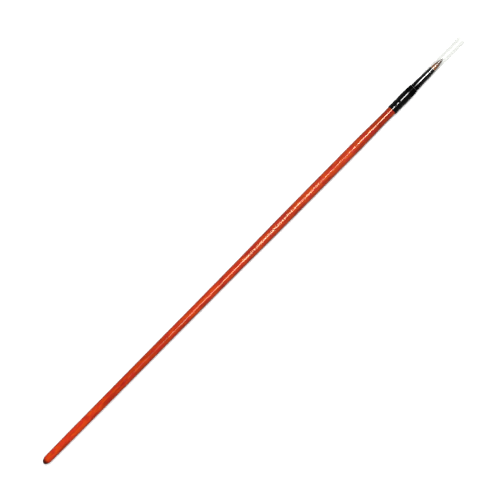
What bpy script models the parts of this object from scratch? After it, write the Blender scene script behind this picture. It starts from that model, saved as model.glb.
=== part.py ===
"""Fine detail brush: a turned wooden handle, a crimped ferrule sleeve, a tapered ferrule tip, a pointed
hair tuft and the clear tube that protects it.

Every piece is turned about the brush's own axis, which is local +Z: the butt of the handle is at z = 0 and
the hair points up. The empty called brush_axis then lays the whole brush down along world +X. Lengths are
in metres, and names that end in _AT are distances from the butt, measured along the axis.
"""

import math

import bpy

# Driving dimensions.
BRUSH_LENGTH = 0.2000  # butt to hair tip
SLEEVE_FROM_AT = 0.1743  # where the handle's shoulder meets the ferrule
SLEEVE_TO_AT = 0.1852
LIP_AT = 0.1947  # where the hair comes out
GUARD_FROM_AT = 0.1905
GUARD_TO_AT = 0.2096  # far end of the protective tube, and of the whole object
SIDES = 32  # flats round every turned piece, one of which faces the ground
FLAT_TURN = math.pi / SIDES  # half a flat, which turns a flat and not a corner to the ground

FIT_GAP = 0.00005  # radial room between pieces that fit one round the other
SEAT_GAP = 0.0003  # room between hidden end faces

# Handle: radius at a few stations, joined by one smooth curve.
BUTT_RADIUS = 0.00144
BUTT_DOME = 0.0024  # length of the rounded end
BELLY_RADIUS = 0.00186
BELLY_FROM_AT = 0.1450
BELLY_TO_AT = 0.1570
HANDLE_STATIONS = (
    (BUTT_DOME, BUTT_RADIUS),
    (0.0120, 0.00152),
    (0.0400, 0.00158),
    (0.0700, 0.00160),
    (0.0960, 0.00165),
    (0.1200, 0.00184),
    (BELLY_FROM_AT, BELLY_RADIUS),
    (BELLY_TO_AT, BELLY_RADIUS),
    (0.1640, 0.00176),
    (0.1700, 0.00165),  # neck
    (SLEEVE_FROM_AT, 0.00168),
)

# Ferrule sleeve: a thin tube crimped onto the handle's tenon and swaged in at its mouth.
SLEEVE_RADIUS = 0.00184
SLEEVE_WALL = 0.00018
RIM_EASING = 0.00005
SWAGE_FROM_AT = 0.1812
MOUTH_RADIUS = 0.00169
CRIMPS_AT = (0.1762, 0.1781)
CRIMP_DEPTH = 0.00014
CRIMP_HALF_WIDTH = 0.00050

# Ferrule tip: drops in from behind, is trapped by the sleeve's swaged mouth and tapers down to grip the hair.
TIP_FROM_AT = 0.1795
CONE_RADIUS = 0.00146  # just outside the sleeve
CONE_TAPER = 0.00012  # even loss of radius along the cone
CONE_CLOSING = 0.00025  # further loss of radius, which grows towards the lip
LIP_WALL = 0.00008
BORE_RADIUS = 0.00112
BORE_NARROWS_AT = 0.1890

# Hair, its binding and the glue that sets its root.
TUFT_FROM_AT = 0.1862
TUFT_ROOT_RADIUS = 0.00086
TUFT_SWELL = 1.7  # higher keeps the tuft full for longer
TUFT_POINT = 0.8  # higher draws the tip out finer
BINDING_FROM_AT = 0.1869
BINDING_TURNS = 5
BINDING_PITCH = 0.00018
THREAD_RADIUS = 0.00007
THREAD_POINTS_PER_TURN = 14
PLUG_FROM_AT = 0.1822
PLUG_DISH = 0.0003  # hollow left in the glue's rear face as it sets

# Protective tube: slides off forwards.
GUARD_RADIUS = 0.00150
GUARD_WALL = 0.00013

LACQUER = (0.560, 0.048, 0.008)
BLACK_ENAMEL = (0.006, 0.006, 0.007)
HAIR = (0.330, 0.090, 0.024)
THREAD = (0.620, 0.560, 0.430)
EPOXY = (0.640, 0.430, 0.150)
CLEAR_PLASTIC = (0.900, 0.920, 0.910)


def clear_scene():
    for thing in list(bpy.data.objects):
        bpy.data.objects.remove(thing, do_unlink=True)


def make_material(name, colour, roughness, metallic=0.0, alpha=1.0):
    material = bpy.data.materials.new(name)
    material.use_nodes = True
    shader = material.node_tree.nodes["Principled BSDF"]
    shader.inputs["Base Color"].default_value = (*colour, 1.0)
    shader.inputs["Roughness"].default_value = roughness
    shader.inputs["Metallic"].default_value = metallic
    shader.inputs["Alpha"].default_value = alpha
    material.diffuse_color = (*colour, alpha)
    return material


def add_to_brush(piece, collection, axis, material):
    """Puts a piece on the brush's axis, turned so that one of its flats faces the ground."""
    collection.objects.link(piece)
    piece.parent = axis
    piece.rotation_euler = (0.0, 0.0, FLAT_TURN)
    piece.data.materials.append(material)


def turned(name, outline, collection, axis, material, hollow=False):
    """A solid of revolution. The outline is (distance from the butt, radius) pairs that run from the hair
    end to the butt along the outside. A hollow one comes back along the inside and closes on itself."""
    points = [(radius, 0.0, at) for at, radius in outline]
    edges = [(i, i + 1) for i in range(len(points) - 1)]
    if hollow:
        edges.append((len(points) - 1, 0))
    mesh = bpy.data.meshes.new(name)
    mesh.from_pydata(points, edges, [])
    piece = bpy.data.objects.new(name, mesh)
    add_to_brush(piece, collection, axis, material)
    screw = piece.modifiers.new("Turn", "SCREW")
    screw.axis = "Z"
    screw.angle = math.tau
    screw.steps = SIDES
    screw.render_steps = SIDES
    screw.use_merge_vertices = True
    screw.merge_threshold = 0.000005
    screw.use_smooth_shade = True
    piece.modifiers.new("Crisp rims", "WEIGHTED_NORMAL")


def spread(start, end, count):
    """count + 1 evenly spaced values from start to end."""
    return [start + (end - start) * i / count for i in range(count + 1)]


def handle_radius(at):
    """Radius of the shaft: a cubic curve through the stations that never swings past them."""
    stations = HANDLE_STATIONS
    slopes = [(r1 - r0) / (x1 - x0) for (x0, r0), (x1, r1) in zip(stations, stations[1:])]
    tangents = [0.0]
    for before, after in zip(slopes, slopes[1:]):
        same_way = before * after > 0
        tangents.append(2 * before * after / (before + after) if same_way else 0.0)
    tangents.append(0.0)
    i = max(i for i in range(len(slopes)) if i == 0 or stations[i][0] <= at)
    (x0, r0), (x1, r1) = stations[i], stations[i + 1]
    step = x1 - x0
    t = (at - x0) / step
    return (
        (1 + 2 * t) * (1 - t) ** 2 * r0
        + t * (1 - t) ** 2 * step * tangents[i]
        + t * t * (3 - 2 * t) * r1
        + t * t * (t - 1) * step * tangents[i + 1]
    )


def shaft_stations():
    """Distances from the shoulder back to the dome, finer where the radius changes."""
    along = [SLEEVE_FROM_AT]
    for (near, r0), (far, r1) in reversed(list(zip(HANDLE_STATIONS, HANDLE_STATIONS[1:]))):
        along += spread(far, near, 1 if r0 == r1 else 2)[1:]
    return along


def sleeve_outside(at):
    """Outer radius of the ferrule sleeve: two rolled crimps, then a swaged mouth."""
    radius = SLEEVE_RADIUS
    for centre in CRIMPS_AT:
        offset = abs(at - centre) / CRIMP_HALF_WIDTH
        if offset < 1:
            radius -= CRIMP_DEPTH * math.cos(offset * math.pi / 2) ** 2
    if at > SWAGE_FROM_AT:
        t = (at - SWAGE_FROM_AT) / (SLEEVE_TO_AT - SWAGE_FROM_AT)
        radius -= (SLEEVE_RADIUS - MOUTH_RADIUS) * t * t * (3 - 2 * t)
    return radius


def inside_sleeve(at):
    """Radius of whatever fills the sleeve."""
    return sleeve_outside(at) - SLEEVE_WALL - FIT_GAP


def crimp_stations():
    """Distances from the butt that follow both crimps, front one first."""
    along = []
    for centre in reversed(CRIMPS_AT):
        along += spread(centre + CRIMP_HALF_WIDTH, centre - CRIMP_HALF_WIDTH, 6)
    return along


def swage_stations():
    return spread(SLEEVE_TO_AT, SWAGE_FROM_AT, 5)


def handle_outline():
    """Tenon inside the sleeve, shoulder, long swelling shaft and a domed butt."""
    tenon_end = TIP_FROM_AT - SEAT_GAP
    chamfer = 2 * RIM_EASING
    outline = [(tenon_end, 0.0), (tenon_end, inside_sleeve(tenon_end) - chamfer)]
    tenon = [tenon_end - chamfer] + crimp_stations() + [SLEEVE_FROM_AT - FIT_GAP]
    outline += [(at, inside_sleeve(at)) for at in tenon]
    shaft = [SLEEVE_FROM_AT - FIT_GAP] + shaft_stations()[1:]
    outline += [(at, handle_radius(at)) for at in shaft]
    for angle in spread(0.0, math.pi / 2, 6)[1:-1]:
        dome_at = BUTT_DOME * (1 - math.sin(angle))
        outline.append((dome_at, BUTT_RADIUS * math.cos(angle)))
    outline.append((0.0, 0.0))
    return outline


def sleeve_outline():
    """Outside from the mouth to the rear rim, then back along the inside at one wall thickness."""
    along = swage_stations() + crimp_stations() + [SLEEVE_FROM_AT]
    outside = [(at, sleeve_outside(at)) for at in along]
    inside = [(at, radius - SLEEVE_WALL) for at, radius in reversed(outside)]
    outside[0] = (SLEEVE_TO_AT - RIM_EASING, MOUTH_RADIUS)
    outside.insert(0, (SLEEVE_TO_AT, MOUTH_RADIUS - RIM_EASING))
    outside[-1] = (SLEEVE_FROM_AT + RIM_EASING, SLEEVE_RADIUS)
    outside.append((SLEEVE_FROM_AT, SLEEVE_RADIUS - RIM_EASING))
    return outside + inside


def cone_outside(at):
    """Outer radius of the ferrule tip in front of the sleeve."""
    t = (at - SLEEVE_TO_AT) / (LIP_AT - SLEEVE_TO_AT)
    return CONE_RADIUS - CONE_TAPER * t - CONE_CLOSING * t**2


def tip_bore(at):
    """Radius of the hole through the ferrule tip, which narrows to grip the hair at the lip."""
    t = max((at - BORE_NARROWS_AT) / (LIP_AT - BORE_NARROWS_AT), 0.0)
    return BORE_RADIUS + (cone_outside(LIP_AT) - LIP_WALL - BORE_RADIUS) * t


def tip_outline():
    """Lip and cone, the root that the swaged mouth holds, then the bore."""
    rim = LIP_WALL / 2
    cone_length = LIP_AT - SLEEVE_TO_AT
    bunched = [LIP_AT - cone_length * step**1.6 for step in spread(0.0, 1.0, 6)]
    outline = [(LIP_AT, cone_outside(LIP_AT) - rim)]
    outline += [(at, cone_outside(at)) for at in [LIP_AT - rim] + bunched[1:-1]]
    outline += [(at, inside_sleeve(at)) for at in swage_stations() + [TIP_FROM_AT]]
    outline += [(at, tip_bore(at)) for at in (TIP_FROM_AT, BORE_NARROWS_AT, LIP_AT)]
    return outline


def tuft_radius(at):
    """Radius of the hair bundle: a bound root, full at the lip, then a fine point."""
    mouth = tip_bore(LIP_AT) - FIT_GAP
    if at < LIP_AT:
        t = max((at - BINDING_FROM_AT) / (LIP_AT - BINDING_FROM_AT), 0.0)
        return TUFT_ROOT_RADIUS + (mouth - TUFT_ROOT_RADIUS) * t
    t = (at - LIP_AT) / (BRUSH_LENGTH - LIP_AT)
    return mouth * max(1 - t**TUFT_SWELL, 0.0) ** TUFT_POINT


def tuft_outline():
    along = spread(BRUSH_LENGTH, LIP_AT, 10) + [BINDING_FROM_AT, TUFT_FROM_AT]
    return [(at, tuft_radius(at)) for at in along] + [(TUFT_FROM_AT, 0.0)]


def plug_outline():
    """Hardened glue behind the hair, cupped round the end of its root."""
    floor = TUFT_FROM_AT - SEAT_GAP
    cup_rim = BINDING_FROM_AT - SEAT_GAP
    cup = TUFT_ROOT_RADIUS + FIT_GAP
    outside = BORE_RADIUS - FIT_GAP
    dish = PLUG_FROM_AT + PLUG_DISH
    return [
        (floor, 0.0),
        (floor, cup),
        (cup_rim, cup),
        (cup_rim, outside),
        (PLUG_FROM_AT, outside),
        (dish, outside / 2),
        (dish, 0.0),
    ]


def guard_outline():
    """Plain tube with eased rims."""
    inside = GUARD_RADIUS - GUARD_WALL
    return [
        (GUARD_TO_AT, GUARD_RADIUS - RIM_EASING),
        (GUARD_TO_AT - RIM_EASING, GUARD_RADIUS),
        (GUARD_FROM_AT + RIM_EASING, GUARD_RADIUS),
        (GUARD_FROM_AT, GUARD_RADIUS - RIM_EASING),
        (GUARD_FROM_AT, inside),
        (GUARD_TO_AT, inside),
    ]


def binding_thread(collection, axis, material):
    """A thread wound in one open helix round the root of the hair."""
    curve = bpy.data.curves.new("binding_thread", "CURVE")
    curve.dimensions = "3D"
    curve.bevel_depth = THREAD_RADIUS
    curve.bevel_resolution = 2
    curve.use_fill_caps = True
    spline = curve.splines.new("POLY")
    spline.points.add(BINDING_TURNS * THREAD_POINTS_PER_TURN)
    for i, point in enumerate(spline.points):
        turn = i / THREAD_POINTS_PER_TURN
        at = BINDING_FROM_AT + turn * BINDING_PITCH
        radius = tuft_radius(at) + THREAD_RADIUS + FIT_GAP
        angle = turn * math.tau
        point.co = (radius * math.cos(angle), radius * math.sin(angle), at, 1.0)
    add_to_brush(bpy.data.objects.new("binding_thread", curve), collection, axis, material)


def build_brush():
    collection = bpy.data.collections.new("fine_detail_brush")
    bpy.context.scene.collection.children.link(collection)
    axis = bpy.data.objects.new("brush_axis", None)
    collection.objects.link(axis)
    axis.location = (-GUARD_TO_AT / 2, 0.0, BELLY_RADIUS * math.cos(FLAT_TURN))
    axis.rotation_euler = (0.0, math.pi / 2, 0.0)

    lacquer = make_material("orange_lacquer", LACQUER, 0.22)
    enamel = make_material("black_enamel", BLACK_ENAMEL, 0.18)
    hair = make_material("sable_hair", HAIR, 0.45)
    thread = make_material("cotton_thread", THREAD, 0.80)
    epoxy = make_material("epoxy", EPOXY, 0.30)
    clear = make_material("clear_plastic", CLEAR_PLASTIC, 0.10, alpha=0.35)

    turned("handle", handle_outline(), collection, axis, lacquer)
    turned("ferrule_sleeve", sleeve_outline(), collection, axis, enamel, hollow=True)
    turned("ferrule_tip", tip_outline(), collection, axis, enamel, hollow=True)
    turned("hair_tuft", tuft_outline(), collection, axis, hair)
    turned("glue_plug", plug_outline(), collection, axis, epoxy)
    turned("protective_tube", guard_outline(), collection, axis, clear, hollow=True)
    binding_thread(collection, axis, thread)


clear_scene()
build_brush()
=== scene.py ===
"""Looks of the fine detail brush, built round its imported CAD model. Lengths are in metres.

The brush lies along X, hair towards +X. The turned pieces are made from the outlines of their CAD
nodes, smoothed, given rounded rims and turned again with many more sides. The hairs fill the outline
of their own node, and the foil lies on the handle's.
"""

import math
import random

import bpy
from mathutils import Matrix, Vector, noise


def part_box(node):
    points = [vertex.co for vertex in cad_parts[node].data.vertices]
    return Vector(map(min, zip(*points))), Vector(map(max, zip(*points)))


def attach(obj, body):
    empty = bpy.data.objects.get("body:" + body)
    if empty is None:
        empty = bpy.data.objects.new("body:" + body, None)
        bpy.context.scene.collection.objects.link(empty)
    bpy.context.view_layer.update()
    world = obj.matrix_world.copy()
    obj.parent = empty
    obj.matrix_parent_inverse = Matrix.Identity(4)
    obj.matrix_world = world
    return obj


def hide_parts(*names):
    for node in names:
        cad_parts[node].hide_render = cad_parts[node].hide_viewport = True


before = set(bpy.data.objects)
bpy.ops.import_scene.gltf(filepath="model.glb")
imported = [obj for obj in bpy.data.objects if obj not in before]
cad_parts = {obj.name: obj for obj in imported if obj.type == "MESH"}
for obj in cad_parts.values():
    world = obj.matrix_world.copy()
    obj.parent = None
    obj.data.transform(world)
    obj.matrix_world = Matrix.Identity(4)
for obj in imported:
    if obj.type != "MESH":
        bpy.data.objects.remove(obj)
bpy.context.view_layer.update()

MM = 0.001
HANDLE_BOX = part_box("handle")
SLEEVE_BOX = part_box("ferrule_sleeve")
TIP_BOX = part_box("ferrule_tip")
TUFT_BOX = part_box("hair_tuft")
AXIS_Z = (HANDLE_BOX[0].z + HANDLE_BOX[1].z) / 2
BUTT_X = HANDLE_BOX[0].x
NECK_X = SLEEVE_BOX[0].x
MOUTH_X = SLEEVE_BOX[1].x
LIP_X = TIP_BOX[1].x
HAIR_TIP_X = TUFT_BOX[1].x
HAIR_LENGTH = HAIR_TIP_X - LIP_X

# Turned meshes.
TENTH_MICRON = 7  # decimals of a metre to which CAD points are rounded before they are compared
ROUND_SIDES = 96
SAME_TURN = 0.01  # radians: CAD points closer than this round the axis are on one line of the surface
ON_AXIS = 0.01 * MM  # a CAD point closer to the axis than this lies on it
POLE_RADIUS = 0.001 * MM  # a ring smaller than this becomes one point
CORNER = math.radians(30)  # an outline that turns more than this has a real corner there
EASED_SHARE = 0.4  # most that the arc at a corner may take of the shorter step beside it
EASED_PLACES = (0.0, 0.25, 0.5, 0.75, 1.0)  # where along that arc its points are
LEAST_STEPS = 3  # in each span of a curved run
RIM_WIDTH = 0.10 * MM  # of the bare metal at the end of a ferrule piece
SANDING = 0.007 * MM  # how far the handle is from round
SANDING_LENGTH = 9 * MM  # over which that changes along it
SANDING_ROUND = 1.1  # how quickly it changes round it
TUBE_OVAL = 0.006 * MM  # how far the tube is pressed oval
TUBE_OVAL_TURN = 0.6  # radians: which way it is pressed
TUBE_UNEVEN = 0.004 * MM  # how far it is uneven besides
TUBE_UNEVEN_LENGTH = 5 * MM  # over which that changes along it

# Where the finishes change along the brush.
BUTT_SHADE_FULL_X = BUTT_X + 0.5 * MM  # painted shade on the butt's rounded end is full up to here
BUTT_SHADE_END_X = BUTT_X + 2.0 * MM  # and is gone here
BUTT_SHADE_WANDER = 0.5 * MM  # how far that edge wanders
SWAGE_FROM_X = MOUTH_X - 3.5 * MM  # the sleeve's gloss begins to fade
SWAGE_MATT_X = MOUTH_X - 2.1 * MM  # and is gone
CONE_FROM_X = MOUTH_X - 0.1 * MM  # the cone's gloss begins
CONE_GLOSSY_X = MOUTH_X + 4.4 * MM  # and is full
SLEEVE_GLOSS = 0.42
SWAGE_GLOSS = 0.01
CONE_GLOSS = 0.95
WEAR_WEIGHT = 0.5  # how much more a sharp edge is worn than a smooth stretch
TUBE_MIRROR = 0.014  # share of light that the tube mirrors where it is seen straight on
TUBE_MIRROR_SLANT = 0.40  # and how much more where it is seen at a slant
TUBE_SLANT_POWER = 4.0

# Hair.
HAIRS = 900
HAIR_SIDES = 5
HAIR_RINGS = 12  # from the lip to the end of a hair
HAIR_HIDDEN = (3.0 * MM, 0.4 * MM)  # how far behind the lip its two hidden rings are
HAIR_RADIUS = 0.036 * MM
HAIR_PROUD = 0.3  # how far outside the tuft's outline the outermost hairs run, in radii
HAIR_TAPER = 0.9  # share of its thickness that a hair loses by its end
HAIR_SHORT_OUTSIDE = 0.42  # share of the tuft's length that an outer hair may lack
HAIR_SHORT = 0.05  # and that any hair may lack
HAIR_TURN = 0.05  # radians by which a hair may leave its place round the axis
HAIR_STRAY = 0.03 * MM  # how far its end may leave its place from the axis
GOLDEN_ANGLE = math.pi * (3 - math.sqrt(5))
BUNDLE_SLOPE = 0.07  # how far the bundle's own surface leans towards the point
BUNDLE_SHARE = 6.0  # weight of the bundle's normal against a single hair's
HAIR_TINT_AND_SHEEN_X = LIP_X + 0.3 * MM  # the hair has a warm tint, lightened as a painted sheen, up to here
HAIR_PLAIN_X = LIP_X + 3.2 * MM  # and no more from here on
HAIR_DARKENS_X = LIP_X + 1.0 * MM  # from here to its point it darkens

# Foil ornament: a band of lozenges between dashed borders, then a smaller one, then a dashed line.
FOIL_FROM_X = BUTT_X + 99.4 * MM
FOIL_SMALL_X = BUTT_X + 115.0 * MM
FOIL_DASH_X = BUTT_X + 139.5 * MM
FOIL_TO_X = BUTT_X + 150.0 * MM
FOIL_RUBBED_X = FOIL_FROM_X + 12 * MM  # from here on it is rubbed more and more
FOIL_MIDDLE = 0.04 * MM  # how far round from the top of the handle the first band lies
FOIL_SMALL_MIDDLE = 0.22 * MM  # and the other band and the line
FOIL_DASH = (0.70 * MM, 0.14 * MM)  # length and height of the line's dashes
FOIL_DASH_PITCH = 1.15 * MM
FOIL_SLICES = 12  # steps along a mark
FOIL_STEPS = 6  # steps across a mark
FOIL_POINT = 0.01 * MM  # the least height of a mark, where it comes to a point
FOIL_THICKNESS = 0.006 * MM
FOIL_SUNK = 4 * FOIL_THICKNESS  # how deep a mark goes into the handle, so that no gap shows under it
SAME_X = 1e-9  # corners of a mark closer than this along X are at one x

# View, as in a catalogue picture taken from straight above.
VIEW_ROLL = math.radians(45.38)  # how far the brush points up from the picture's level
VIEW_WIDTH = 175.75 * MM  # of the object's level that the picture takes in
VIEW_CENTRE = Vector((-0.47 * MM, 1.035 * MM, AXIS_Z))
LENS_MM = 100
SENSOR_MM = 36
NEAREST_SEEN = 0.01  # nothing closer to the lens than this is seen

# Light.
LAMP_HEIGHT = 1.0
SOFTBOXES = (
    # start and end along X, place across, width, radiance
    (-0.190, -0.130, -0.07, 0.20, 3),
    (-0.130, -0.080, -0.07, 0.20, 13),
    (-0.080, 0.030, -0.05, 0.20, 20),
    (0.030, 0.165, 0.14, 0.26, 7),
    (0.165, 0.268, 0.21, 0.24, 33),
    (0.268, 0.460, 0.24, 0.26, 32),
)
FILL_STRENGTH = 1.3
FILL_SPREAD = math.radians(70)
SKY_STRENGTH = 0.08
BACKDROP_WHITE = 0.95
FLOOR_HALF = 6.0
FLOOR_DROP = 0.03 * MM  # keeps the sheet just under the lowest sanded spot of the handle
FLOOR_WHITE = 0.92
FLOOR_BOUNCE = 0.25  # how white the sheet is to the brush, which keeps the brush's edges dark
FLOOR_GLOW = 0.15  # how much the sheet is lit from below, which lightens the shadow


# ---------------------------------------------------------------- outlines and turned meshes


def outline_of(node):
    """A turned CAD node's outline as (x, radius) pairs.

    It runs from the node's front end back along the outside, and then along the inside if it is a tube.
    """
    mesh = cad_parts[node].data
    spots, turns = [], []
    for vertex in mesh.vertices:
        y, z = vertex.co.y, vertex.co.z - AXIS_Z
        spots.append((round(vertex.co.x, TENTH_MICRON), round(math.hypot(y, z), TENTH_MICRON)))
        turns.append(math.atan2(z, y))
    first = min(turn for turn, (x, radius) in zip(turns, spots) if turn > 0 and radius > ON_AXIS)
    on_line = [abs(turn - first) < SAME_TURN or spot[1] < ON_AXIS for turn, spot in zip(turns, spots)]
    near = {}
    for edge in mesh.edges:
        a, b = edge.vertices
        if on_line[a] and on_line[b] and spots[a] != spots[b]:
            near.setdefault(spots[a], set()).add(spots[b])
            near.setdefault(spots[b], set()).add(spots[a])
    loose = [spot for spot in near if len(near[spot]) == 1]
    line = [max(loose or near)]
    while True:
        onward = [spot for spot in near[line[-1]] if spot not in line]
        if not onward:
            return line
        line.append(min(onward))


def radius_at(outside, x):
    """Radius at x of an outline sorted by x, or 0 beyond its ends."""
    for (x0, r0), (x1, r1) in zip(outside, outside[1:]):
        if x0 <= x <= x1 and x1 > x0:
            return r0 + (r1 - r0) * (x - x0) / (x1 - x0)
    return 0.0


def steady_curve(knots, values, steps):
    """Points on a monotone cubic through (knot, value) pairs, with the given steps in each span."""
    slopes = [(v1 - v0) / (k1 - k0) for k0, k1, v0, v1 in zip(knots, knots[1:], values, values[1:])]
    tangents = [slopes[0]]
    for before, after in zip(slopes, slopes[1:]):
        tangents.append(2 * before * after / (before + after) if before * after > 0 else 0.0)
    tangents.append(slopes[-1])
    out = [values[0]]
    for i, count in enumerate(steps):
        span = knots[i + 1] - knots[i]
        for step in range(1, count + 1):
            t = step / count
            out.append(
                (1 + 2 * t) * (1 - t) ** 2 * values[i]
                + t * (1 - t) ** 2 * span * tangents[i]
                + t * t * (3 - 2 * t) * values[i + 1]
                + t * t * (t - 1) * span * tangents[i + 1]
            )
    return out


def curved_run(run, longest):
    """A run of outline points with more points between them, on a curve if there are over two."""
    knots = [0.0]
    for a, b in zip(run, run[1:]):
        knots.append(knots[-1] + (b - a).length)
    if len(run) > 2:
        steps = [max(LEAST_STEPS, math.ceil((k1 - k0) / longest)) for k0, k1 in zip(knots, knots[1:])]
    else:
        steps = [1]
    xs = steady_curve(knots, [p.x for p in run], steps)
    rs = steady_curve(knots, [p.y for p in run], steps)
    return [Vector(p) for p in zip(xs, rs)]


def turn_at(before, here, after):
    """How far an outline turns at a point."""
    a, b = here - before, after - here
    return a.angle(b, 0.0)


def smoothed(outline, closed, easing, longest):
    """The outline with curved runs between its corners, and each corner eased by a small arc.

    easing is how far from the corner the arc may start, and longest the longest step of a run.
    """
    points = [Vector(p) for p in outline]
    count = len(points)
    corners = []
    for i, point in enumerate(points):
        inner = closed or 0 < i < count - 1
        if inner and turn_at(points[i - 1], point, points[(i + 1) % count]) > CORNER:
            corners.append(i)
    if closed:
        points = points[corners[0]:] + points[:corners[0]] + [points[corners[0]]]
        corners = [i - corners[0] for i in corners] + [count]
    else:
        corners = [0] + corners + [count - 1]
    runs = [curved_run(points[start:end + 1], longest) for start, end in zip(corners, corners[1:])]
    out = []
    for i, run in enumerate(runs):
        following = runs[(i + 1) % len(runs)]
        if i == 0 and not closed:
            out.append(run[0])
        out += run[1:-1]
        if i == len(runs) - 1 and not closed:
            out.append(run[-1])
            continue
        corner = run[-1]
        beside = min((corner - run[-2]).length, (following[1] - corner).length)
        cut = min(easing, EASED_SHARE * beside)
        start = corner + (run[-2] - corner).normalized() * cut
        end = corner + (following[1] - corner).normalized() * cut
        for t in EASED_PLACES:
            out.append(start * (1 - t) ** 2 + corner * 2 * t * (1 - t) + end * t * t)
    return out


def turned_mesh(line, closed, wobble=None):
    """Points and faces of an outline turned about the brush's axis.

    wobble(x, angle) is added to the radius.
    """
    points, rings = [], []
    for x, radius in line:
        if radius < POLE_RADIUS:
            rings.append([len(points)] * ROUND_SIDES)
            points.append((x, 0.0, AXIS_Z))
            continue
        rings.append(list(range(len(points), len(points) + ROUND_SIDES)))
        for side in range(ROUND_SIDES):
            angle = side / ROUND_SIDES * math.tau
            r = radius + (wobble(x, angle) if wobble else 0.0)
            points.append((x, r * math.sin(angle), AXIS_Z + r * math.cos(angle)))
    faces = []
    pairs = list(zip(rings, rings[1:])) + ([(rings[-1], rings[0])] if closed else [])
    for front, back in pairs:
        for side in range(ROUND_SIDES):
            after = (side + 1) % ROUND_SIDES
            corners = [front[side], back[side], back[after], front[after]]
            face = [c for i, c in enumerate(corners) if c != corners[i - 1]]
            if len(face) > 2:
                faces.append(face)
    return points, faces


def mesh_piece(name, points, faces, materials, body, replaces=None, face_material=None):
    """A smooth-shaded piece that rides on a body and hides the node it replaces."""
    mesh = bpy.data.meshes.new(name)
    mesh.from_pydata(points, [], faces)
    for material in materials:
        mesh.materials.append(material)
    if face_material:
        mesh.polygons.foreach_set("material_index", face_material)
    mesh.shade_smooth()
    piece = bpy.data.objects.new(name, mesh)
    bpy.context.scene.collection.objects.link(piece)
    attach(piece, body)
    if replaces:
        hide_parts(replaces)
    return piece


def store(piece, name, values):
    """Gives each point of a piece a number that its material can read."""
    attribute = piece.data.attributes.new(name, "FLOAT", "POINT")
    attribute.data.foreach_set("value", values)


# ---------------------------------------------------------------- materials


class Shading:
    """A material with its Principled shader, and short ways to add nodes to it."""

    def __init__(self, name, **values):
        self.material = bpy.data.materials.new(name)
        self.material.use_nodes = True
        self.tree = self.material.node_tree
        self.shader = self.tree.nodes["Principled BSDF"]
        self.output = self.tree.nodes["Material Output"]
        self.place = self.add("TexCoord").outputs["Object"]
        for socket, value in values.items():
            self.surface(socket.replace("_", " "), value)

    def set(self, socket, value):
        """Links a socket to another, or gives it a number, vector or colour."""
        if isinstance(value, bpy.types.NodeSocket):
            self.tree.links.new(value, socket)
        elif hasattr(value, "__len__") and len(value) == 3 and len(socket.default_value) == 4:
            socket.default_value = (*value, 1.0)
        else:
            socket.default_value = value

    def surface(self, socket, value):
        """Sets or links one of the Principled shader's own sockets."""
        self.set(self.shader.inputs[socket], value)

    def add(self, kind, inputs=(), **settings):
        """A new node with its inputs and settings."""
        node = self.tree.nodes.new("ShaderNode" + kind)
        for key, value in settings.items():
            setattr(node, key, value)
        for key, value in dict(inputs).items():
            self.set(node.inputs[key], value)
        return node

    def noise(self, along, across, detail=2.0, roughness=0.5, distortion=0.0, shift=0.0):
        """Noise with features of the given size along the brush and across it."""
        scale = (1 / along, 1 / across, 1 / across)
        placed = self.add("Mapping", {"Vector": self.place, "Scale": scale, "Location": (shift,) * 3})
        made = self.add(
            "TexNoise",
            {
                "Vector": placed.outputs["Vector"],
                "Scale": 1.0,
                "Detail": detail,
                "Roughness": roughness,
                "Distortion": distortion,
            },
        )
        return made.outputs["Fac"]

    def steps(self, value, low, high, to_low=0.0, to_high=1.0):
        """Smooth step of a value, to_low at low and to_high at high, and level beyond them."""
        made = self.add(
            "MapRange",
            {"Value": value, "From Min": low, "From Max": high, "To Min": to_low, "To Max": to_high},
            interpolation_type="SMOOTHSTEP",
        )
        return made.outputs["Result"]

    def maths(self, operation, a, b=0.0):
        return self.add("Math", {0: a, 1: b}, operation=operation).outputs["Value"]

    def vectors(self, operation, a, b=None, scale=None):
        node = self.add("VectorMath", {0: a}, operation=operation)
        if b is not None:
            self.set(node.inputs[1], b)
        if scale is not None:
            self.set(node.inputs["Scale"], scale)
        return node.outputs["Vector"]

    def blend(self, factor, a, b, kind="MIX"):
        """Two colours mixed. On a Mix node they are inputs 6 and 7, and the result is output 2."""
        made = self.add("Mix", data_type="RGBA", blend_type=kind)
        self.set(made.inputs["Factor"], factor)
        self.set(made.inputs[6], a)
        self.set(made.inputs[7], b)
        return made.outputs[2]

    def ramp(self, value, *stops):
        """Colour of a value, from (value, colour) stops."""
        made = self.add("ValToRGB", {"Fac": value})
        elements = made.color_ramp.elements
        while len(elements) < len(stops):
            elements.new(0.5)
        for element, (place, colour) in zip(elements, stops):
            element.position = place
            element.color = (*colour, 1.0)
        return made.outputs["Color"]

    def along(self):
        """Distance along X."""
        return self.add("SeparateXYZ", {"Vector": self.place}).outputs["X"]

    def bump(self, height, depth, onto=None):
        """Normal of a relief, laid onto another normal if one is given."""
        inputs = {"Height": height, "Distance": depth, "Strength": 1.0}
        if onto:
            inputs["Normal"] = onto
        return self.add("Bump", inputs).outputs["Normal"]


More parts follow.
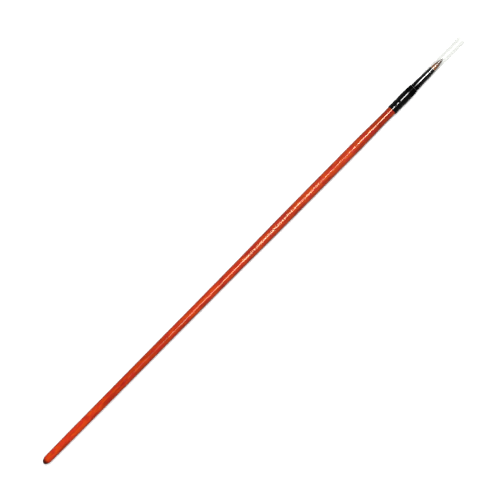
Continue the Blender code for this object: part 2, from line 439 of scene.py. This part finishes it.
def lacquered_wood():
    """Straight-grained wood under a translucent orange-red lacquer, with painted shade on the butt's
    rounded end.
    """
    look = Shading(
        "lacquered_wood",
        Roughness=0.06,
        Specular_IOR_Level=0.42,
        Specular_Tint=(1.0, 1.0, 0.5),
        Coat_Weight=1.0,
        Coat_Roughness=0.04,
        Coat_IOR=1.3,
        Coat_Tint=(1.0, 0.56, 0.42),
    )
    figure = look.noise(along=14 * MM, across=0.55 * MM, detail=4, roughness=0.55, distortion=0.35)
    wood = look.ramp(
        figure,
        (0.30, (0.440, 0.040, 0.012)),
        (0.46, (0.640, 0.074, 0.016)),
        (0.60, (0.650, 0.115, 0.010)),
        (0.74, (0.540, 0.056, 0.020)),
    )
    clouds = (
        # length and width in mm, noise values where they start and are full, strength, colour, shift
        (2.6, 1.2, 0.44, 0.62, 0.75, (0.620, 0.046, 0.036), 7.0),
        (2.2, 0.9, 0.50, 0.66, 0.80, (0.740, 0.118, 0.010), 13.0),
        (6.0, 1.5, 0.50, 0.68, 0.55, (0.340, 0.020, 0.012), 17.0),
    )
    for length, width, start, full, strength, colour, shift in clouds:
        cloud = look.noise(along=length * MM, across=width * MM, detail=2, shift=shift)
        wood = look.blend(look.steps(cloud, start, full, 0.0, strength), wood, colour)
    pores = look.noise(along=2.2 * MM, across=0.075 * MM, detail=2, shift=3.0)
    pore_mask = look.steps(pores, 0.60, 0.72)
    wood = look.blend(look.maths("MULTIPLY", pore_mask, 0.55), wood, (0.200, 0.012, 0.004))
    along = look.along()
    # The wood's colour is scaled along the shaft by listed steps, and ends darker towards the neck.
    down_the_shaft = look.add("MapRange", {"Value": along, "From Min": BUTT_X, "From Max": NECK_X})
    shaft_tone = look.ramp(
        down_the_shaft.outputs["Result"],
        (0.12, (0.96, 1.00, 0.96)),
        (0.27, (0.74, 0.71, 0.86)),
        (0.50, (0.85, 0.95, 1.4)),
        (0.70, (0.74, 0.94, 1.5)),
        (0.88, (0.82, 1.08, 1.8)),
        (0.96, (0.56, 0.68, 1.2)),
    )
    wood = look.blend(1.0, wood, shaft_tone, "MULTIPLY")
    # Painted shade: the rounded butt end is darkened, fading out along the shaft behind a wandering edge.
    edge = look.noise(along=0.5 * MM, across=0.7 * MM, detail=1, shift=5.0)
    reach = look.maths("ADD", along, look.maths("MULTIPLY", edge, -BUTT_SHADE_WANDER))
    butt_shade = look.steps(reach, BUTT_SHADE_END_X, BUTT_SHADE_FULL_X)
    look.surface("Base Color", look.blend(butt_shade, wood, (0.060, 0.008, 0.003)))
    peel = look.noise(along=1.8 * MM, across=1.2 * MM, detail=1, shift=11.0)
    smooth = look.bump(peel, 0.03 * MM)
    look.surface("Normal", look.bump(pore_mask, -0.001 * MM, smooth))
    look.surface("Coat Normal", smooth)
    return look.material


def gold_foil():
    """Hot-stamped foil, uneven where it bridges the grain and rubbed through towards the ferrule."""
    look = Shading("gold_foil", Specular_IOR_Level=0.1)
    tone = look.noise(along=0.8 * MM, across=0.16 * MM, detail=3)
    gold = look.ramp(tone, (0.35, (0.700, 0.340, 0.190)), (0.65, (0.950, 0.640, 0.430)))
    rubbed = look.noise(along=0.9 * MM, across=0.30 * MM, detail=4, roughness=0.65, shift=6.0)
    handled = look.steps(look.along(), FOIL_RUBBED_X, FOIL_TO_X, 0.0, 0.14)
    bare = look.steps(look.maths("ADD", rubbed, handled), 0.53, 0.63)
    look.surface("Base Color", look.blend(bare, gold, (0.600, 0.085, 0.030)))
    look.surface("Metallic", look.steps(bare, 0.0, 1.0, 1.0, 0.0))
    look.surface("Roughness", look.steps(tone, 0.3, 0.7, 0.30, 0.50))
    look.surface("Normal", look.bump(tone, 0.006 * MM))
    return look.material


def black_enamel():
    """Gloss black coat with faint rubbing marks, worn to metal in specks along its sharpest edges."""
    look = Shading(
        "black_enamel", Coat_Weight=1.0, Coat_Roughness=0.05, Coat_IOR=1.9, Specular_IOR_Level=0.0
    )
    rubbed = look.noise(along=0.05 * MM, across=1.3 * MM, detail=3, shift=2.0)
    black = look.ramp(rubbed, (0.35, (0.0006, 0.0006, 0.0006)), (0.7, (0.0030, 0.0029, 0.0028)))
    worn = look.add("Attribute", attribute_name="edge_wear").outputs["Fac"]
    specks = look.noise(along=0.09 * MM, across=0.16 * MM, detail=3, roughness=0.7, shift=9.0)
    bare = look.steps(look.maths("ADD", look.maths("MULTIPLY", worn, WEAR_WEIGHT), specks), 0.98, 1.06)
    look.surface("Base Color", look.blend(bare, black, (0.42, 0.42, 0.43)))
    look.surface("Metallic", bare)
    look.surface("Roughness", look.steps(rubbed, 0.3, 0.7, 0.22, 0.38))
    # The sleeve has a soft gloss that fades out at its swaged mouth, and the cone gets glossier forwards.
    along = look.along()
    sleeve = look.steps(along, SWAGE_FROM_X, SWAGE_MATT_X, SLEEVE_GLOSS, SWAGE_GLOSS)
    cone = look.steps(along, CONE_FROM_X, CONE_GLOSSY_X, SWAGE_GLOSS, CONE_GLOSS)
    look.surface("Coat Weight", look.maths("MAXIMUM", sleeve, cone))
    dimple = look.noise(along=0.9 * MM, across=0.5 * MM, detail=2, shift=4.0)
    look.surface("Normal", look.bump(dimple, 0.0003 * MM))
    return look.material


def bare_metal():
    """Cut rim of the ferrule, with fine turning lines."""
    look = Shading("bare_metal", Metallic=1.0)
    lines = look.noise(along=0.012 * MM, across=0.6 * MM, detail=2)
    look.surface("Base Color", look.ramp(lines, (0.3, (0.34, 0.34, 0.35)), (0.7, (0.62, 0.62, 0.63))))
    look.surface("Roughness", look.steps(lines, 0.3, 0.7, 0.28, 0.5))
    return look.material


def brush_hair():
    """Orange-brown fibre: each hair has its own tone, and all of them darken towards the point."""
    look = Shading(
        "brush_hair",
        Roughness=0.30,
        Specular_IOR_Level=0.7,
        Coat_Weight=1.0,
        Coat_Roughness=0.17,
        Coat_IOR=1.75,
        Coat_Tint=(1.0, 0.93, 0.86),
    )
    tone = look.add("Attribute", attribute_name="hair_tone").outputs["Fac"]
    base = look.ramp(
        tone,
        (0.0, (0.060, 0.026, 0.013)),
        (0.5, (0.165, 0.074, 0.038)),
        (1.0, (0.400, 0.200, 0.105)),
    )
    fleck = look.noise(along=0.7 * MM, across=0.03 * MM, detail=2)
    base = look.blend(look.steps(fleck, 0.35, 0.7, 0.0, 0.25), base, (0.060, 0.026, 0.014))
    # Near the lip the hair is warm orange: partly its own tint and partly a painted sheen that lightens
    # it.
    warm_root_and_sheen = look.steps(look.along(), HAIR_PLAIN_X, HAIR_TINT_AND_SHEEN_X, 0.0, 0.6)
    base = look.blend(warm_root_and_sheen, base, (0.540, 0.215, 0.085))
    tip = look.steps(look.along(), HAIR_DARKENS_X, HAIR_TIP_X, 0.0, 0.75)
    look.surface("Base Color", look.blend(tip, base, (0.110, 0.082, 0.066)))
    # Light falls on the hairs mostly as on one tuft: their normals are blended towards the bundle's.
    own = look.add("NewGeometry").outputs["Normal"]
    from_axis = look.vectors("SUBTRACT", look.place, (0.0, 0.0, AXIS_Z))
    outward = look.vectors("NORMALIZE", look.vectors("MULTIPLY", from_axis, (0.0, 1.0, 1.0)))
    bundle = look.vectors("ADD", outward, (BUNDLE_SLOPE, 0.0, 0.0))
    both = look.vectors("ADD", look.vectors("SCALE", bundle, scale=BUNDLE_SHARE), own)
    shared = look.vectors("NORMALIZE", both)
    look.surface("Normal", shared)
    look.surface("Coat Normal", shared)
    return look.material


def clear_plastic():
    """Clear thin-walled tube: it mirrors a little, more at a slant, and lets the rest straight through."""
    look = Shading("clear_plastic", Metallic=1.0, Roughness=0.30)
    haze = look.noise(along=2.4 * MM, across=0.5 * MM, detail=3)
    look.surface("Base Color", look.ramp(haze, (0.3, (0.90, 0.91, 0.90)), (0.7, (0.98, 0.98, 0.98))))
    drawn = look.bump(haze, 0.001 * MM)
    look.surface("Normal", drawn)
    tint = look.ramp(haze, (0.3, (0.947, 0.950, 0.943)), (0.7, (0.957, 0.959, 0.954)))
    through = look.add("BsdfTransparent", {"Color": tint}).outputs["BSDF"]
    slant = look.add("LayerWeight", {"Blend": 0.5, "Normal": drawn}).outputs["Facing"]
    slant = look.maths("POWER", slant, TUBE_SLANT_POWER)
    mirrored = look.maths("ADD", look.maths("MULTIPLY", slant, TUBE_MIRROR_SLANT), TUBE_MIRROR)
    both = look.add("MixShader", {0: mirrored, 1: through, 2: look.shader.outputs["BSDF"]})
    look.set(look.output.inputs["Surface"], both.outputs["Shader"])
    return look.material


def cotton_thread():
    """Pale twisted cotton."""
    look = Shading("cotton_thread", Roughness=0.85)
    strands = look.noise(along=0.05 * MM, across=0.02 * MM, detail=3)
    look.surface("Base Color", look.ramp(strands, (0.3, (0.42, 0.36, 0.25)), (0.7, (0.70, 0.64, 0.50))))
    look.surface("Normal", look.bump(strands, 0.01 * MM))
    return look.material


def amber_glue():
    """Hardened resin, clouded."""
    look = Shading("amber_glue", Roughness=0.25, Coat_Weight=0.5)
    clouds = look.noise(along=0.6 * MM, across=0.5 * MM, detail=3)
    look.surface("Base Color", look.ramp(clouds, (0.3, (0.50, 0.28, 0.07)), (0.7, (0.72, 0.50, 0.18))))
    return look.material


# ---------------------------------------------------------------- pieces


def handle_line():
    """The handle's smoothed outline, from its front end back to the butt."""
    return smoothed(outline_of("handle"), False, easing=0.04 * MM, longest=1.0 * MM)


def make_handle():
    """The turned wood with its lacquer."""

    def hand_sanding(x, angle):
        """The slight unevenness of a turned, sanded and dipped handle."""
        across = math.cos(angle) * SANDING_ROUND, math.sin(angle) * SANDING_ROUND
        return SANDING * noise.noise(Vector((x / SANDING_LENGTH, *across)))

    points, faces = turned_mesh(handle_line(), False, hand_sanding)
    mesh_piece("lacquered_handle", points, faces, [lacquered_wood()], "brush", "handle")


def edge_wear(line):
    """How sharply a closed outline turns at each of its points, from 0 to 0.5."""
    wear = []
    for i, here in enumerate(line):
        before, after = line[i - 1], line[(i + 1) % len(line)]
        bend = (here - before).cross(after - here)
        length = (here - before).length + (after - here).length
        wear.append(2 * abs(bend) / length**2)
    return wear


def make_metal(name, node, rim_x, materials):
    """A ferrule piece: enamelled, with its cut rim at rim_x left bare."""
    line = smoothed(outline_of(node), True, easing=0.03 * MM, longest=0.5 * MM)
    points, faces = turned_mesh(line, True)
    rim = [int(all(points[corner][0] > rim_x - RIM_WIDTH for corner in face)) for face in faces]
    piece = mesh_piece(name, points, faces, materials, "brush", node, rim)
    store(piece, "edge_wear", [value for value in edge_wear(line) for _ in range(ROUND_SIDES)])


def make_tube():
    """The clear tube that pulls off the tip."""
    line = smoothed(outline_of("protective_tube"), True, easing=0.02 * MM, longest=1.0 * MM)

    def extrusion(x, angle):
        """Soft plastic is never quite round or even."""
        oval = TUBE_OVAL * math.sin(2 * angle + TUBE_OVAL_TURN)
        return oval + TUBE_UNEVEN * noise.noise(Vector((x / TUBE_UNEVEN_LENGTH, angle, 0.0)))

    points, faces = turned_mesh(line, True, extrusion)
    mesh_piece("clear_tube", points, faces, [clear_plastic()], "guard", "protective_tube")


def add_hair(points, faces, rings, turn):
    """Adds a closed tube through rings, each given as x, the sideways and upward place, and a radius."""
    base = len(points)
    for x, y, z, radius in rings:
        for side in range(HAIR_SIDES):
            angle = side / HAIR_SIDES * math.tau + turn
            points.append((x, y + radius * math.sin(angle), z + radius * math.cos(angle)))
    for k in range(len(rings) - 1):
        for side in range(HAIR_SIDES):
            a = base + k * HAIR_SIDES + side
            b = base + k * HAIR_SIDES + (side + 1) % HAIR_SIDES
            faces.append([a + HAIR_SIDES, a, b, b + HAIR_SIDES])
    last = base + (len(rings) - 1) * HAIR_SIDES
    faces.append([base + side for side in range(HAIR_SIDES)])
    faces.append([last + side for side in reversed(range(HAIR_SIDES))])


def make_hair():
    """Separate hairs, packed round as they leave the ferrule and drawn together at the point."""
    dice = random.Random(7)
    outside = sorted(outline_of("hair_tuft"))
    points, faces, tones = [], [], []
    for i in range(HAIRS):
        share = math.sqrt((i + 0.5) / HAIRS)
        turn = i * GOLDEN_ANGLE + dice.uniform(-HAIR_TURN, HAIR_TURN)
        lacking = HAIR_SHORT_OUTSIDE * share**2 * dice.random() + HAIR_SHORT * dice.random()
        end_x = HAIR_TIP_X - HAIR_LENGTH * lacking
        tone = dice.random()
        stray = dice.uniform(-1, 1) * HAIR_STRAY
        stations = [LIP_X - back for back in HAIR_HIDDEN]
        stations += [LIP_X + (end_x - LIP_X) * (k / (HAIR_RINGS - 1)) for k in range(HAIR_RINGS)]
        rings = []
        for x in stations:
            out_of_lip = max(0.0, x - LIP_X)
            reach = max(radius_at(outside, min(x, HAIR_TIP_X)) + HAIR_RADIUS * HAIR_PROUD, 0.0)
            centre = reach * share + stray * (out_of_lip / HAIR_LENGTH)
            radius = HAIR_RADIUS * (1 - HAIR_TAPER * (out_of_lip / (end_x - LIP_X)) ** 2)
            rings.append((x, centre * math.sin(turn), AXIS_Z + centre * math.cos(turn), radius))
        add_hair(points, faces, rings, turn)
        tones += [tone] * (len(rings) * HAIR_SIDES)
    piece = mesh_piece("hair_strands", points, faces, [brush_hair()], "brush", "hair_tuft")
    store(piece, "hair_tone", tones)


def bar(x, length, height, middle):
    """A flat (x, y) bar from x on."""
    low, high = middle - height / 2, middle + height / 2
    return [(x, low), (x + length, low), (x + length, high), (x, high)]


def lozenge(x, length, height, middle):
    """A flat (x, y) lozenge from x on."""
    low, high = middle - height / 2, middle + height / 2
    half_way = x + length / 2
    return [(x, middle), (half_way, low), (x + length, middle), (half_way, high)]


def foil_band(x, to_x, pitch, mark, dash, border, middle):
    """Lozenges from x on with a dashed border on each side, and where the next mark would start.

    mark and dash are each a length and a height, and border is how far the dashes lie from the middle.
    """
    shapes = []
    while x < to_x:
        for side in (-1, 1):
            shapes.append(bar(x + pitch / 2, *dash, middle + side * border))
        shapes.append(lozenge(x, *mark, middle))
        x += pitch
    return shapes, x


def foil_shapes():
    """Outlines of the foil marks as (x, y) polygons, laid out flat."""
    shapes, x = foil_band(
        FOIL_FROM_X,
        FOIL_SMALL_X,
        pitch=0.94 * MM,
        mark=(0.72 * MM, 0.34 * MM),
        dash=(0.56 * MM, 0.13 * MM),
        border=0.36 * MM,
        middle=FOIL_MIDDLE,
    )
    small, x = foil_band(
        x,
        FOIL_DASH_X,
        pitch=0.70 * MM,
        mark=(0.56 * MM, 0.32 * MM),
        dash=(0.46 * MM, 0.12 * MM),
        border=0.28 * MM,
        middle=FOIL_SMALL_MIDDLE,
    )
    shapes += small
    while x < FOIL_TO_X:
        shapes.append(bar(x, *FOIL_DASH, FOIL_SMALL_MIDDLE))
        x += FOIL_DASH_PITCH
    return shapes


def mark_rows(shape):
    """A flat mark as rows of (x, y) points, each row across it at one x."""
    start = min(x for x, y in shape)
    length = max(x for x, y in shape) - start
    rows = []
    for k in range(FOIL_SLICES + 1):
        x = start + length * k / FOIL_SLICES
        met = []
        for (x0, y0), (x1, y1) in zip(shape, shape[1:] + shape[:1]):
            if abs(x1 - x0) < SAME_X:
                if abs(x - x0) < SAME_X:
                    met += [y0, y1]
            elif min(x0, x1) - SAME_X <= x <= max(x0, x1) + SAME_X:
                met.append(y0 + (y1 - y0) * (x - x0) / (x1 - x0))
        low, high = min(met), max(met)
        if high - low < FOIL_POINT:
            low, high = low - FOIL_POINT / 2, high + FOIL_POINT / 2
        rows.append([(x, low + (high - low) * step / FOIL_STEPS) for step in range(FOIL_STEPS + 1)])
    return rows


def make_foil():
    """Each mark is a thin closed patch wrapped on the handle's round surface."""
    shaft = sorted((x, r) for x, r in handle_line() if x < NECK_X)
    points, faces = [], []

    def wrapped(x, y, lift):
        """A flat point laid round the handle, y being the way round from its top."""
        radius = radius_at(shaft, x) + lift
        angle = y / radius
        return (x, radius * math.sin(angle), AXIS_Z + radius * math.cos(angle))

    width = FOIL_STEPS + 1
    for shape in foil_shapes():
        rows = mark_rows(shape)
        top = len(points)
        points += [wrapped(x, y, FOIL_THICKNESS) for row in rows for x, y in row]
        under = len(points)
        points += [wrapped(x, y, -FOIL_SUNK) for row in rows for x, y in row]
        for r in range(len(rows) - 1):
            for c in range(FOIL_STEPS):
                a = r * width + c
                quad = [a, a + width, a + width + 1, a + 1]
                faces.append([top + q for q in quad])
                faces.append([under + q for q in reversed(quad)])
        count = len(rows) * width
        rim = list(range(width)) + [r * width + FOIL_STEPS for r in range(1, len(rows))]
        rim += [count - 1 - c for c in range(1, width)] + [r * width for r in range(len(rows) - 2, 0, -1)]
        for a, b in zip(rim, rim[1:] + rim[:1]):
            faces.append([top + a, top + b, under + b, under + a])
    mesh_piece("foil_ornament", points, faces, [gold_foil()], "brush")


def finish_hidden_pieces():
    """The binding and the glue keep their CAD shape and get their own finish."""
    for node, material in (("binding_thread", cotton_thread()), ("glue_plug", amber_glue())):
        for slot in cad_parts[node].material_slots:
            slot.material = material


# ---------------------------------------------------------------- stage, light and camera


def make_stage():
    """A white sheet. Seen, it is white and glows a little; the brush sees it as grey."""
    floor = bpy.data.meshes.new("floor")
    h = FLOOR_HALF
    floor.from_pydata([(-h, -h, 0), (h, -h, 0), (h, h, 0), (-h, h, 0)], [], [(0, 1, 2, 3)])
    look = Shading("white_paper", Roughness=0.9, Specular_IOR_Level=0.0)
    rays = look.add("LightPath").outputs
    seen = look.maths("MAXIMUM", rays["Is Camera Ray"], rays["Is Transmission Ray"])
    look.surface("Base Color", look.blend(seen, (FLOOR_BOUNCE,) * 3, (FLOOR_WHITE,) * 3))
    look.surface("Emission Color", (1.0, 1.0, 1.0))
    look.surface("Emission Strength", look.maths("MULTIPLY", seen, FLOOR_GLOW))
    floor.materials.append(look.material)
    sheet = bpy.data.objects.new("floor", floor)
    sheet.location.z = -FLOOR_DROP
    bpy.context.scene.collection.objects.link(sheet)


def make_world():
    """A dim white sky, which the camera sees as a pale backdrop."""
    world = bpy.data.worlds.new("studio")
    world.use_nodes = True
    tree = world.node_tree
    sky = tree.nodes["Background"]
    sky.inputs["Color"].default_value = (1.0, 1.0, 1.0, 1.0)
    sky.inputs["Strength"].default_value = SKY_STRENGTH
    backdrop = tree.nodes.new("ShaderNodeBackground")
    backdrop.inputs["Color"].default_value = (BACKDROP_WHITE, BACKDROP_WHITE, BACKDROP_WHITE, 1.0)
    seen = tree.nodes.new("ShaderNodeLightPath")
    both = tree.nodes.new("ShaderNodeMixShader")
    tree.links.new(seen.outputs["Is Camera Ray"], both.inputs[0])
    tree.links.new(sky.outputs[0], both.inputs[1])
    tree.links.new(backdrop.outputs[0], both.inputs[2])
    tree.links.new(both.outputs[0], tree.nodes["World Output"].inputs["Surface"])
    bpy.context.scene.world = world


def make_lamps():
    """A row of softboxes over the brush, and one wide fill from above that leaves no highlight."""
    for i, (start, end, across, width, radiance) in enumerate(SOFTBOXES):
        box = bpy.data.lights.new(f"softbox_{i}", "AREA")
        box.shape = "RECTANGLE"
        box.size = end - start
        box.size_y = width
        box.energy = radiance * math.pi * box.size * box.size_y
        lamp = bpy.data.objects.new(f"softbox_{i}", box)
        lamp.location = ((start + end) / 2, across, LAMP_HEIGHT)
        lamp.visible_camera = False
        bpy.context.scene.collection.objects.link(lamp)

    fill = bpy.data.lights.new("fill", "SUN")
    fill.energy = FILL_STRENGTH
    fill.angle = FILL_SPREAD
    lamp = bpy.data.objects.new("fill", fill)
    lamp.visible_glossy = False
    bpy.context.scene.collection.objects.link(lamp)


def make_camera():
    """Straight above, turned so that the brush runs up to the right."""
    data = bpy.data.cameras.new("camera")
    data.lens = LENS_MM
    data.sensor_width = SENSOR_MM
    data.clip_start = NEAREST_SEEN
    camera = bpy.data.objects.new("camera", data)
    camera.location = VIEW_CENTRE + Vector((0.0, 0.0, VIEW_WIDTH * LENS_MM / SENSOR_MM))
    camera.rotation_euler = (0.0, 0.0, -VIEW_ROLL)
    bpy.context.scene.collection.objects.link(camera)
    bpy.context.scene.camera = camera


bpy.context.scene.view_settings.view_transform = "Standard"
ferrule_finish = [black_enamel(), bare_metal()]
make_handle()
make_metal("sleeve_shell", "ferrule_sleeve", MOUTH_X, ferrule_finish)
make_metal("cone_shell", "ferrule_tip", LIP_X, ferrule_finish)
make_hair()
make_tube()
make_foil()
finish_hidden_pieces()
make_stage()
make_world()
make_lamps()
make_camera()
